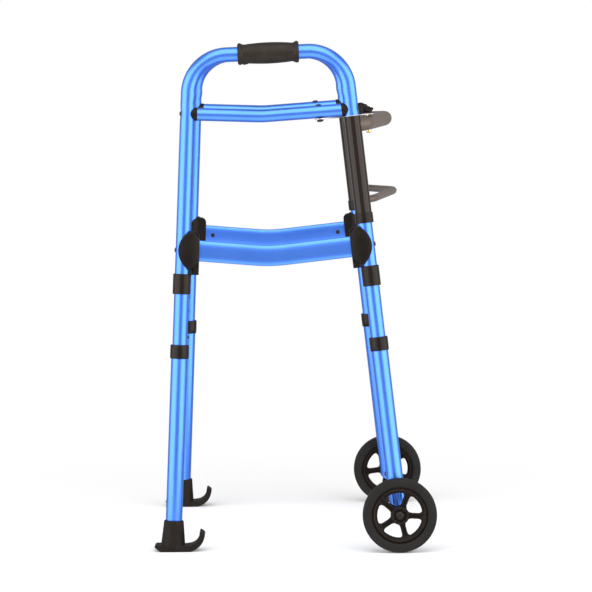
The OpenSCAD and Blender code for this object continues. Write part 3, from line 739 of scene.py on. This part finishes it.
def front_leg():
    """The outer face ends in a lobe with a pressed tongue, the inner face is rounded about the axle."""
    length = along(FRONT_RAKE, WHEEL_Z, FRONT_COLLAR_H - 2.2)
    steps = 192
    lobe = 28.0
    wall = 1.1
    t = 2 * np.pi * np.arange(steps) / steps
    depth = np.abs(np.sin(t)) ** 0.9
    low = np.where(np.sin(t) < 0.02, lobe - LEG_R * depth, -10.5 * depth)
    pressed = 70.0
    heights = list(np.linspace(0, 1, 60)) + [None] + list(np.linspace(pressed + 12, length, 24))

    def ring_at(h, r):
        if h is None:
            z = np.full(steps, pressed + 6)
        elif h <= 1:
            z = low + (pressed - low) * h
        else:
            z = np.full(steps, h)
        x = r * np.cos(t)
        reach = 5.2 * np.sqrt(np.clip((z - 15.5) / 22, 0, 1))
        fade = np.clip((pressed - z) / 25, 0, 1)
        groove = 0.85 * np.exp(-((np.abs(x) - reach) / 1.3) ** 2) * fade
        groove = groove * (np.sin(t) < -0.5) * (r > LEG_R - 0.1)
        rr = r - groove
        return np.stack((rr * np.cos(t), rr * np.sin(t), z), 1)

    rows = [ring_at(h, LEG_R) for h in heights]
    rows += [ring_at(h, LEG_R - wall) for h in reversed(heights)]
    rows.append(rows[0])
    points, faces = grid_of(rows, False)
    last = (len(rows) - 1) * steps
    faces = [tuple(i - last if i >= last else i for i in f) for f in faces]
    return points[:last], faces


def leg_collar():
    bore = TUBE_R + 0.1
    socket = LEG_R + 0.05
    low = -COLLAR_H
    return lathe(rounded([
        (socket, low, 0.3), (16.0, low, 1.8), (16.25, low + 8, 3), (16.1, 0, 1.7),
        (bore, 0, 0.5), (bore, -1.9, 0), (socket, -1.9, 0),
    ]))


GLIDE_SIDE = rounded([
    (-21.4, 0, 1), (28.1, 0, 8), (35.5, 1.8, 30), (42.8, 5.9, 25), (49.2, 12.0, 25),
    (53.4, 19.4, 25), (55.4, 26.8, 20), (55.6, 30.5, 3), (54.0, 33.0, 2), (48.6, 36.4, 1.2),
    (46.6, 34.6, 1.2), (45.4, 25.2, 15), (42.8, 19.4, 15), (38.6, 15.2, 15), (32.3, 12.0, 15),
    (22.8, 10.6, 6), (-27.5, 11.8, 1.2), (-29.8, 10.8, 1.2), (-31.4, 8.4, 1.5),
])


def glide(x, y, z):
    """Foot with a flat sole, a chamfered tail, a hook in front and a cup round the leg."""
    flat = outline(x, z, GLIDE_SIDE)
    body = slab(flat, np.abs(y) - 18 + 0.0035 * np.maximum(x - 20, 0) ** 2, 1.9)
    c, s = math.cos(REAR_RAKE), math.sin(REAR_RAKE)
    w = s * x + c * z
    r = np.hypot(c * x - s * z, y)
    cup = (r - 21.0 + (w - 8) * 0.094) * 0.995
    cup = meet(cup, w - 53, 2.6)
    cup = np.maximum(cup, 6 - w)
    shape = join(body, cup, 1.8)
    ridge = 0.3 * np.exp(-((z - 9.4) / 0.8) ** 2)
    socket = np.minimum(LEG_R + 0.06 - r, w - 12.3)
    return np.maximum(shape - ridge, socket)


def dome_button():
    inner = LEG_R - 1.0
    outer = LEG_R + 2.2
    profile = [(0, inner), (3.0, inner), (3.0, outer - 1.4), (2.85, outer - 0.9),
               (2.4, outer - 0.42), (1.6, outer - 0.12), (0, outer)]
    return moved(lathe(profile, 32, closed=False), INWARD)


def wheel_mount(x, y, z):
    """Plug in the leg's end, with a boss for the axle on each side."""
    plug_r = LEG_R - 1.2
    plug = meet(np.hypot(x, y) - plug_r, np.hypot(x, np.minimum(z, 0)) - plug_r, 0.8)
    plug = meet(plug, z - 46, 1.0)
    boss = join(disc(x, z, -y, 9.0, 0, WHEEL_OUT - 13.4, 0.8),
                disc(x, z, y, 6.9, 0, 15.2, 0.5), 0.5)
    return np.maximum(join(plug, boss, 0.8), 4.05 - np.hypot(x, z))


def axle_bolt(x, y, z):
    """Along +Z out of the leg: shaft, washer face and a domed hexagonal head."""
    seat = WHEEL_OUT + 7.3
    shaft = disc(x, y, z, 4.0, -22.6, seat + 1, 0.6)
    face = disc(x, y, z, 8.3, seat, seat + 1.5, 0.5)
    hexagon = np.maximum(np.abs(x), np.abs(x) * 0.5 + np.abs(y) * 0.866) - 6.9
    head = meet(slab(hexagon, np.abs(z - seat - 2.4) - 2.4, 0.6),
                np.sqrt(x * x + y * y + (z - seat + 6.2) ** 2) - 11.4, 0.8)
    dimple = np.sqrt(x * x + y * y + (z - seat - 7.2) ** 2) - 2.9
    return meet(join(join(shaft, face, 0.3), head, 0.5), -dimple, 0.5)


# ---------------------------------------------------------------- wheels


def tyre():
    w = 12.0
    crown = []
    for k in range(13):
        t = math.radians(-90 + 15 * k)
        crown.append((58.4 + 5.1 * math.cos(t), (w - 5.1) * (1 if k > 6 else -1) + 5.1 * math.sin(t)))
    low = [(48.3, -9.6), (49.2, -10.2), (50.0, -11.4), (51.2, -w + 0.1), (54, -w)]
    tread = [(63.5, -3.2), (63.52, -0.5), (63.62, 0), (63.52, 0.5), (63.5, 3.2)]
    high = [(r, -z) for r, z in reversed(low)]
    profile = low + crown[:6] + tread + crown[7:] + high
    profile[-1] = (48.3, 9.6)
    return lathe(profile, 160)


def rim(x, y, z):
    """Five ridged spokes between a stepped rim and a hub with a scalloped pocket."""
    r = np.hypot(x, y)
    angle = np.arctan2(y, x)
    pitch = 2 * math.pi / 5
    near = np.mod(angle + pitch / 2, pitch) - pitch / 2
    down = r * np.cos(near)
    over = r * np.sin(near)
    ring = slab(np.abs(r - 43.4) - 4.9, np.abs(z) - 9.6, 1.0)
    groove = np.hypot(r - 47.4, np.abs(z) - 10.0) - 2.4
    ring = meet(ring, -groove, 0.5)
    bevel = (np.abs(z) - 9.6) + (43.0 - r) * 0.85
    ring = meet(ring, bevel, 0.8)
    flare = 4.8 + 2.6 * np.clip((down - 30) / 9, 0, 1) ** 2 + 1.2 * np.clip((20 - down) / 6, 0, 1)
    ridges = np.exp(-((np.abs(over) - flare * 0.62) / 1.25) ** 2)
    thick = 3.5 + 3.0 * ridges + 1.2 * np.clip((down - 32) / 8, 0, 1)
    spoke = slab(np.abs(over) - flare, np.abs(z) - thick, 0.9)
    spoke = meet(spoke, np.maximum(down - 41, 12 - down), 0.5)
    hub = disc(x, y, z, 15.6, -13, 12.4, 1.1)
    lip = np.hypot(r - 13.9, np.abs(z) - 12.0) - 1.25
    hub = join(hub, lip, 0.8)
    shape = join(join(ring, spoke, 4.0), hub, 3.0)
    pocket = disc(x, y, z, 11.2 + 0.75 * np.cos(10 * angle), 7, 20, 0.6)
    shape = meet(shape, -pocket, 0.5)
    return np.maximum(shape, 6.55 - r)


RIM = moulded(rim, (-50, -50, -15), (50, 50, 15), 0.6)
BOLT = moulded(axle_bolt, (-9.5, -9.5, -24), (9.5, 9.5, 48), 0.4)
MOUNT = moulded(wheel_mount, (-15, -24, -15), (15, 17, 48), 0.6)
GLIDE = moulded(glide, (-33, -20, -1.5), (58, 20, 56), 0.6)


def glide_place(side):
    m = shift(REAR_FOOT_X, -HALF_FLOOR, 0)
    return MIRROR @ m if side == "left" else m


for side in SIDES:
    place = on_side(side)
    frame_body = "side_" + side
    rear_body = "rear_leg_" + side
    front_body = "front_leg_" + side

    def mine(stem, shape, at, body, slot, *nodes):
        names = [n + "_" + side for n in nodes]
        return piece(stem + "_" + side, shape, place @ at, body, slot, *names)

    tube = mine("bent_tube", side_tube(), PLAIN, frame_body, "blue_tube", "side_tube")
    drill = lathe([(0, 0), (3.4, 0), (3.4, 6), (0, 6)], 32, closed=False)
    spots = [place @ p for p in notch_places()]
    bored(tube, [drill] * len(spots), spots)
    mine("grip", hand_grip(),
         shift(GRIP_X, 0, GRIP_H) @ Matrix.Rotation(math.pi / 2 - GRIP_TILT, 4, "Y"),
         frame_body, "grip_rubber", "hand_grip")
    mine("round_bar", upper_bar(), PLAIN, frame_body, "blue_tube", "upper_bar")
    mine("flat_bar", lower_bar(), PLAIN, frame_body, "blue_tube", "lower_bar")
    mine("cap_saddles", saddles(CAP, CAP, UPPER_BAR_Z), PLAIN, frame_body, "moulded_plastic",
         "upper_saddles")
    mine("leaf_saddles", saddles(FRONT_LEAF, REAR_LEAF, LOWER_BAR_Z), PLAIN, frame_body,
         "moulded_plastic", "lower_saddles")
    mine("rivet_heads", rivets(), PLAIN, frame_body, "black_steel", "bar_rivets")
    stops = merged([
        moved(collar(15.5, TUBE_R + 0.05, 0, STOP_COLLAR_H), at_rear(STOP_COLLAR_Z[0])),
        moved(collar(15.5, TUBE_R + 0.05, 0, STOP_COLLAR_H), at_front(STOP_COLLAR_Z[1])),
    ])
    mine("stop_rings", stops, PLAIN, frame_body, "collar_plastic", "stop_collars")
    through = lathe([(0, 0), (3.25, 0), (3.25, 9), (0, 9)], 32, closed=False)
    inward = INWARD @ shift(0, 0, HOLE_START)
    leg = mine("rear_tube", rear_leg(), at_rear(12.5), rear_body, "blue_tube", "rear_leg")
    bored(leg, [through], [place @ at_rear(REAR_COLLAR_H - BUTTON_DROP) @ inward])
    mine("rear_cap", leg_collar(), at_rear(REAR_COLLAR_H), rear_body, "collar_plastic",
         "rear_leg_collar")
    piece("ski_glide_" + side, GLIDE, glide_place(side), rear_body, "glide_plastic",
          "glide_" + side)
    leg = mine("front_tube", front_leg(), at_front(WHEEL_Z), front_body, "blue_tube", "front_leg")
    bored(leg, [through], [place @ at_front(FRONT_COLLAR_H - BUTTON_DROP) @ inward])
    mine("front_cap", leg_collar(), at_front(FRONT_COLLAR_H), front_body, "collar_plastic",
         "front_leg_collar")
    mine("axle_plug", MOUNT, at_front(WHEEL_Z), front_body, "moulded_plastic", "wheel_mount")
    mine("axle_screw", BOLT, at_front(WHEEL_Z) @ OUTWARD, front_body, "black_steel", "axle_bolt")
    hub_at = at_front(WHEEL_Z) @ OUTWARD @ shift(0, 0, WHEEL_OUT)
    hub_at = hub_at @ Matrix.Rotation(SPOKE_TURN[side] - FRONT_RAKE, 4, "Z")
    wheel_body = "wheel_" + side
    mine("tread", tyre(), hub_at, wheel_body, "tyre_rubber", "tyre")
    mine("spoked_rim", RIM, hub_at, wheel_body, "moulded_plastic", "wheel_rim")
    for leg, collar_h, at in (("rear", REAR_COLLAR_H, at_rear), ("front", FRONT_COLLAR_H, at_front)):
        mine(leg + "_button", dome_button(), at(collar_h - BUTTON_DROP),
             leg + "_button_" + side, "black_steel", leg + "_snap_button")

# ---------------------------------------------------------------- front frame


def both(shape):
    return merged([moved(shape, on_side(side)) for side in SIDES])


def bow(h, r, slope, steps=48):
    """A bowed bar: it leaves one sleeve, bends forward and comes back, each end coped to its sleeve."""
    half = HALF_FLOOR - h * math.sin(LEAN)
    start = 17.0 if r > 10 else 16.0
    peak = start + half * math.tan(slope)
    base = Matrix.Translation((front_x(h), 0, h * math.cos(LEAN))) @ Matrix.Rotation(
        -FRONT_RAKE, 4, "Y")
    inner = half - 30
    corners = [(0.5, -half), (start + 30 * math.tan(slope), -inner), (peak, 0),
               (start + 30 * math.tan(slope), inner), (0.5, half)]
    ends = filleted(corners[:3], 34, 3)
    ends = ends[: int(len(ends) * 0.5)]
    middle = filleted([tuple(ends[-1]), (peak, 0), (ends[-1][0], -ends[-1][1])], APEX_R, 4)
    flat = np.vstack((ends[:-1], middle, (ends[::-1] * (1, -1))[1:]))
    points = np.stack((flat[:, 0], flat[:, 1], np.zeros(len(flat))), 1)
    shape, faces = sweep(points, (0, 0, 1), lambda i: circle(r, steps), caps=False)
    world = np.array(base)
    shape = shape @ world[:3, :3].T + world[:3, 3]
    rows = shape.reshape(len(flat), steps, 3)
    welds = []
    for first, side in ((True, "right"), (False, "left")):
        edge = rows if first else rows[::-1]
        m = np.array(on_side(side) @ at_front(h))
        inverse = np.linalg.inv(m)
        local = edge[:14] @ inverse[:3, :3].T + inverse[:3, 3]
        away = np.hypot(local[..., 0], local[..., 1])
        keep = 13.9
        for k in range(steps):
            outside = np.nonzero(away[:, k] > keep + 0.4)[0]
            j = outside[0] if len(outside) else 1
            j = max(j, 1)
            a, b = local[j, k], local[j - 1, k]
            da, db = away[j, k], away[j - 1, k]
            t = np.clip((da - keep) / max(da - db, 1e-6), 0, 1)
            stop = a + (b - a) * t
            local[:j, k] = stop
        welds.append(local[0] @ m[:3, :3].T + m[:3, 3])
        edge[:14] = local @ m[:3, :3].T + m[:3, 3]
    return (rows.reshape(-1, 3), faces), welds


def weld_bead(loop, r):
    """A fillet of weld along a closed loop of points."""
    loop = np.vstack((loop, loop[:1]))
    centre = loop[:-1].mean(0)
    rows = []
    sides = 10
    for i in range(len(loop) - 1):
        t = loop[i + 1] - loop[i - 1 if i else len(loop) - 2]
        t = t / max(np.linalg.norm(t), 1e-9)
        out = loop[i] - centre
        out = out - t * (out @ t)
        out = out / max(np.linalg.norm(out), 1e-9)
        other = np.cross(t, out)
        wave = r * (1 + 0.12 * math.sin(i * 2.1))
        turn = [2 * math.pi * k / sides for k in range(sides)]
        rows.append(np.array([
            loop[i] + wave * (math.cos(a) * out + math.sin(a) * other) for a in turn
        ]))
    rows.append(rows[0])
    points, faces = grid_of(rows, False)
    last = (len(rows) - 1) * sides
    return points[:last], [tuple(v - last if v >= last else v for v in f) for f in faces]


sleeve_len = along(FRONT_RAKE, *SLEEVE_Z)
sleeve = moved(collar(SLEEVE_R, TUBE_R + 0.1, 0, sleeve_len, 0.4, 0.2), at_front(SLEEVE_Z[0]))
piece("sleeves", both(sleeve), PLAIN, "front_frame", "black_sleeve", "hinge_sleeves")
ring_collar = moved(collar(15.75, SLEEVE_R + 0.05, 0, RING_H, 1.5), at_front(SLEEVE_Z[0]))
piece("ring_collars", both(ring_collar), PLAIN, "front_frame", "collar_plastic", "sleeve_collars")
washer = moved(collar(15.7, TUBE_R + 0.1, 0.05, 1.2, 0.4, 0.2), at_front(SLEEVE_Z[1]))
piece("top_washers", both(washer), PLAIN, "front_frame", "bright_steel", "sleeve_washers")
for bar_name, h, r, node_name in (("arched_bar", CROSSBAR_H, 12.7, "front_crossbar"),
                              ("thin_bow", BOW_H, 6.35, "lower_bow")):
    bar, seams = bow(h, r, ARM_SLOPE)
    piece(bar_name, bar, PLAIN, "front_frame", "grey_crossbar", node_name)
    beads = merged([weld_bead(loop, 1.1) for loop in seams])
    piece(bar_name + "_welds", beads, PLAIN, "front_frame", "grey_crossbar")


def lock_plate(x, y, z):
    """Plate on the lock rivet with two ears that hold the lever's pin."""
    plate = slab(block(x, y, z * 0, (-0.5, 0, 0), (13.5, 12, 50), 3.0),
                 np.abs(z - PLATE_H - PLATE_T / 2) - PLATE_T / 2, 0.3)
    pin_z = PLATE_H + PLATE_T + 5.5
    ear = join(np.hypot(x + 9, z - pin_z) - 3.7,
               block(x, y * 0, z, (-9, 0, (PLATE_H + pin_z) / 2), (3.7, 9, (pin_z - PLATE_H) / 2), 0.2),
               0.5)
    ears = slab(ear, np.abs(np.abs(y) - 11.2) - 0.8, 0.25)
    shape = join(plate, ears, 0.8)
    return np.maximum(shape, 1.5 - np.hypot(x + 9, z - pin_z))


def thumb_lever(x, y, z):
    """Ridged thumb pad with a nose in front, on two lugs round the pin."""
    base = PLATE_H + PLATE_T + 3.2
    pin_z = PLATE_H + PLATE_T + 5.5
    sole = PLATE_H + PLATE_T + 0.7
    top = base + 9.0
    pad = np.sqrt(((x + 0.6) / 10.6) ** 2 + (y / 10.0) ** 2 + ((z - base) / 9.0) ** 2) - 1
    pad = meet(pad * 9.0, sole - z, 1.0)
    ridges = 0.22 * np.cos(2 * math.pi * x / 1.9) * np.clip((z - base - 4.5) / 3, 0, 1)
    pad = pad + ridges
    nose = np.sqrt(((x - 9.2) / 3.6) ** 2 + (y / 4.2) ** 2 + ((z - top + 6.6) / 2.7) ** 2) - 1
    nose = nose * 2.9
    neck = block(x, y, z, (5.4, 0, base + 1.2), (3.6, 6, 1.3), 0.9)
    lug = disc(x + 9, z - pin_z, y, 3.4, -10.0, 10.0, 0.8)
    shape = join(join(join(pad, neck, 1.2), nose, 1.0), lug, 1.2)
    shape = meet(shape, -disc(x, y, z, 5.3, 15, 22.0, 0.5), 0.4)
    return np.maximum(shape, 1.58 - np.hypot(x + 9, z - pin_z))


def brake_strut():
    """Flat strut with a long slot, from its bolt to beyond the lock rivet."""
    reach = math.hypot(BOLT_BACK + LOCK[0], LOCK[1])
    end = reach + 5

    def field(x, y, z):
        body = np.hypot(x - np.clip(x, 0, end), y) - 9
        slot = np.hypot(x - np.clip(x, 22, reach), y) - 4.9
        flat = np.maximum(np.maximum(body, -slot), 3.08 - np.hypot(x, y))
        return slab(flat, np.abs(z - 0.8) - 0.8, 0.3)

    return moulded(field, (-10, -10, -0.9), (end + 10, 10, 2.5), 0.4)


PLATE = moulded(lock_plate, (-15.5, -14, 16.5), (14.5, 14, 31), 0.4)
LEVER = moulded(thumb_lever, (-16, -12, 18), (16, 12, 35), 0.35)
STRUT = brake_strut()
lock_at = at_front(CROSSBAR_H) @ shift(LOCK[0], LOCK[1], 0)
top_head = moved(dome_head(4.6, 1.8), shift(0, 0, PLATE_H + PLATE_T))
plates = both(moved(merged([PLATE, top_head]), lock_at))
piece("lever_brackets", plates, PLAIN, "front_frame", "black_steel", "lever_plates")
shank = lathe([(0, -15), (3.0, -15), (3.0, 19.6), (0, 19.6)], 32, closed=False)
tail_head = moved(dome_head(4.5, 3.6), shift(0, 0, -12.2) @ Matrix.Rotation(math.pi, 4, "X"))
rivet = merged([shank, tail_head])
piece("lock_pins", both(moved(rivet, lock_at)), PLAIN, "front_frame", "brass", "lock_rivets")
strut_turn = math.atan2(LOCK[1], BOLT_BACK + LOCK[0])
for side in SIDES:
    place = on_side(side)
    piece("thumb_pad_" + side, LEVER, place @ lock_at, "release_lever_" + side,
          "moulded_plastic", "release_lever_" + side)
    at = at_front(CROSSBAR_H) @ shift(-BOLT_BACK, 0, STRUT_H)
    piece("flat_strut_" + side, STRUT, place @ at @ Matrix.Rotation(strut_turn, 4, "Z"),
          "lock_strut_" + side, "bright_steel", "lock_strut_" + side)
    low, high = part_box("strut_bolt_" + side)
    bolt_len = (high.z - low.z) / MM * math.cos(FRONT_RAKE) - 3
    shank = lathe([(0, 0), (3.0, 0), (3.0, bolt_len), (0, bolt_len)], 32, closed=False)
    head = moved(dome_head(5.0, 1.9, 0.5), shift(0, 0, bolt_len - 0.4))
    at = at_front(CROSSBAR_H) @ shift(-BOLT_BACK, 0, STRUT_H - 4.2)
    piece("pivot_bolt_" + side, merged([shank, head]), place @ at, "side_" + side,
          "black_steel", "strut_bolt_" + side)

for name, slot_name in NODE_SLOTS.items():
    for full, obj in frame["nodes"].items():
        if full.startswith(name):
            if not obj.material_slots:
                obj.data.materials.append(FINISHES[slot_name])
            for s in obj.material_slots:
                s.material = FINISHES[slot_name]

# ---------------------------------------------------------------- studio


def studio_floor():
    mesh = bpy.data.meshes.new("floor")
    size = 40.0
    mesh.from_pydata([(-size, -size, 0), (size, -size, 0), (size, size, 0), (-size, size, 0)],
                     [], [(0, 1, 2, 3)])
    floor = bpy.data.objects.new("floor", mesh)
    m = bpy.data.materials.new("pale_floor")
    m.use_nodes = True
    tree = m.node_tree
    shader = tree.nodes["Principled BSDF"]
    shader.inputs["Roughness"].default_value = 0.8
    place = tree.nodes.new("ShaderNodeTexCoord")
    tint = node(tree, "ShaderNodeTexNoise", Scale=1.5, Detail=2.0)
    tree.links.new(place.outputs["Object"], tint.inputs["Vector"])
    colour = ramp(tree, tint.outputs["Fac"], [(0.3, (0.88, 0.88, 0.88)), (0.7, (0.9, 0.9, 0.9))])
    tree.links.new(colour, shader.inputs["Base Color"])
    glow = tree.nodes.new("ShaderNodeEmission")
    glow.inputs["Color"].default_value = (1, 1, 1, 1)
    glow.inputs["Strength"].default_value = 1.0
    far = tree.nodes.new("ShaderNodeVectorMath")
    far.operation = "LENGTH"
    tree.links.new(place.outputs["Object"], far.inputs[0])
    fade = tree.nodes.new("ShaderNodeMapRange")
    fade.interpolation_type = "SMOOTHSTEP"
    fade.inputs["From Min"].default_value = 0.2
    fade.inputs["From Max"].default_value = 1.1
    tree.links.new(far.outputs["Value"], fade.inputs["Value"])
    mix = tree.nodes.new("ShaderNodeMixShader")
    tree.links.new(fade.outputs["Result"], mix.inputs["Fac"])
    tree.links.new(shader.outputs["BSDF"], mix.inputs[1])
    tree.links.new(glow.outputs["Emission"], mix.inputs[2])
    tree.links.new(mix.outputs["Shader"], tree.nodes["Material Output"].inputs["Surface"])
    mesh.materials.append(m)
    floor.visible_glossy = False
    floor.visible_shadow = False
    bpy.context.scene.collection.objects.link(floor)


def softbox(name, at, aim, width, height, power):
    light = bpy.data.lights.new(name, "AREA")
    light.shape = "RECTANGLE"
    light.size = width
    light.size_y = height
    light.energy = power
    obj = bpy.data.objects.new(name, light)
    obj.location = at
    obj.rotation_mode = "QUATERNION"
    obj.rotation_quaternion = (Vector(aim) - Vector(at)).to_track_quat("-Z", "Y")
    obj.visible_camera = False
    bpy.context.scene.collection.objects.link(obj)


def studio_world():
    world = bpy.data.worlds.new("studio")
    world.use_nodes = True
    tree = world.node_tree
    shade = tree.nodes["Background"]
    shade.inputs["Color"].default_value = (0.48, 0.475, 0.47, 1)
    seen = tree.nodes.new("ShaderNodeBackground")
    seen.inputs["Color"].default_value = (1, 1, 1, 1)
    path = tree.nodes.new("ShaderNodeLightPath")
    mix = tree.nodes.new("ShaderNodeMixShader")
    tree.links.new(path.outputs["Is Camera Ray"], mix.inputs["Fac"])
    tree.links.new(shade.outputs["Background"], mix.inputs[1])
    tree.links.new(seen.outputs["Background"], mix.inputs[2])
    tree.links.new(mix.outputs["Shader"], tree.nodes["World Output"].inputs["Surface"])
    bpy.context.scene.world = world


def studio_camera():
    at = Vector((-0.0276, -5.3258, 0.8448))
    yaw, pitch, roll = math.radians(0.346), math.radians(4.591), math.radians(-0.332)
    forward = Vector((math.sin(yaw) * math.cos(pitch), math.cos(yaw) * math.cos(pitch),
                      -math.sin(pitch)))
    right = Vector((math.cos(yaw), -math.sin(yaw), 0))
    up = right.cross(forward)
    r2 = right * math.cos(roll) + up * math.sin(roll)
    u2 = -right * math.sin(roll) + up * math.cos(roll)
    data = bpy.data.cameras.new("camera")
    data.sensor_width = 36.0
    data.lens = 181.03
    data.clip_start = 0.1
    data.clip_end = 120.0
    cam = bpy.data.objects.new("camera", data)
    cam.matrix_world = Matrix((
        (r2.x, u2.x, -forward.x, at.x), (r2.y, u2.y, -forward.y, at.y),
        (r2.z, u2.z, -forward.z, at.z), (0, 0, 0, 1),
    ))
    bpy.context.scene.collection.objects.link(cam)
    bpy.context.scene.camera = cam


studio_floor()
studio_world()
MIDDLE = (0, 0, 0.42)
EYE_LEVEL = (0, 0, 1.1)
softbox("left_box", (-2.6, -1.5, 1.1), EYE_LEVEL, 4.2, 3.6, 110)
softbox("right_box", (2.6, -1.5, 1.1), EYE_LEVEL, 4.2, 3.6, 114)
softbox("low_box", (0, -1.6, -1.8), MIDDLE, 3.6, 3.6, 50)
softbox("top_box", (0, -1.9, 3.2), MIDDLE, 3.2, 4.2, 95)
studio_camera()
bpy.context.scene.view_settings.view_transform = "Standard"
